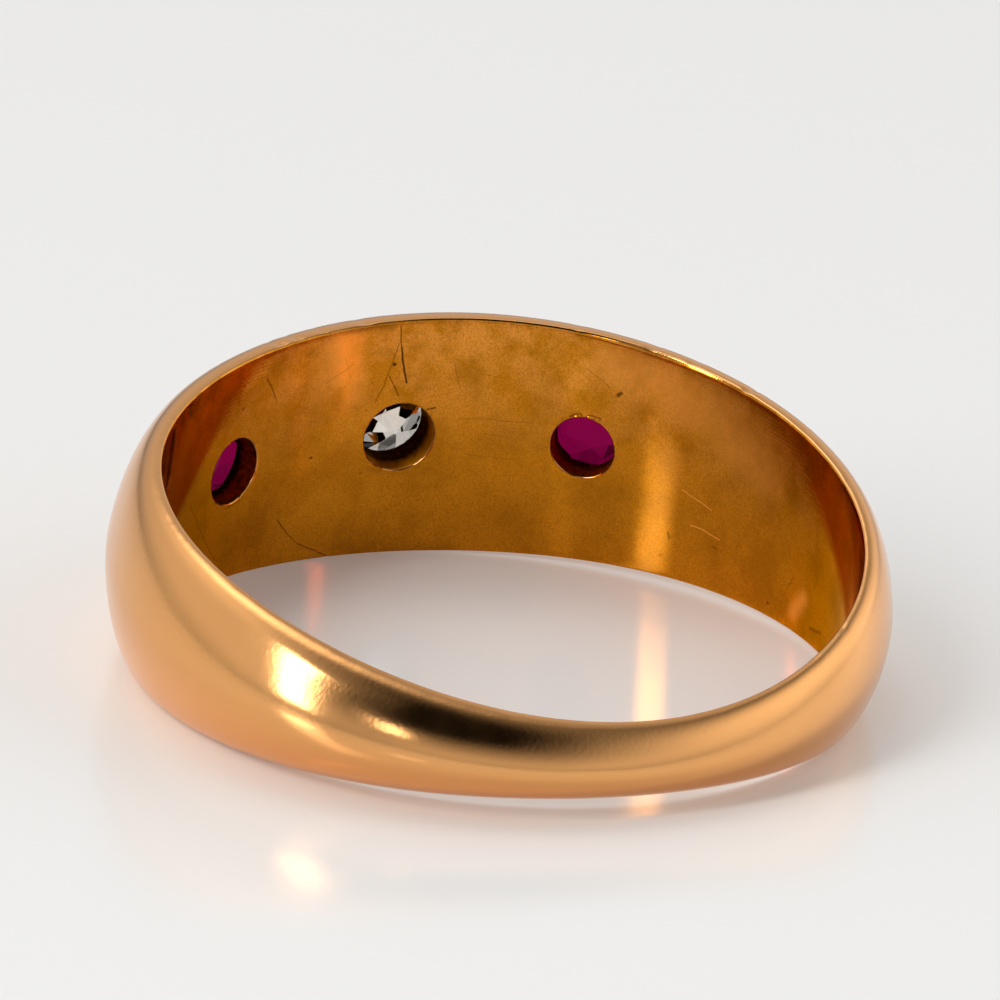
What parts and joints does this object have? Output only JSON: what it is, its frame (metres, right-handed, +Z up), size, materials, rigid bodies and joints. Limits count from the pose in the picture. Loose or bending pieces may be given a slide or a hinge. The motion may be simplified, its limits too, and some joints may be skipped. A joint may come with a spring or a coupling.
{
  "type": "flush set gypsy ring",
  "caption": "Tapered gold ring, domed outside and round inside, with a diamond between rubies set flush in its wide head.",
  "frame": {"origin": "where the axis of the finger hole meets the surface that the ring lies on", "axes": "+Z up from the surface that the ring lies on, +X from the back of the shank towards the middle of the head, +Y towards the left ruby"},
  "size_m": [0.0205, 0.0198, 0.0066],
  "materials": {
    "gold": "polished outside, satin and scratched inside",
    "diamond": "faceted and polished",
    "ruby": "faceted and polished"
  },
  "bodies": {
    "root": {"band": "gold", "diamond": "diamond", "ruby_left": "ruby", "ruby_right": "ruby"}
  },
  "joints": []
}
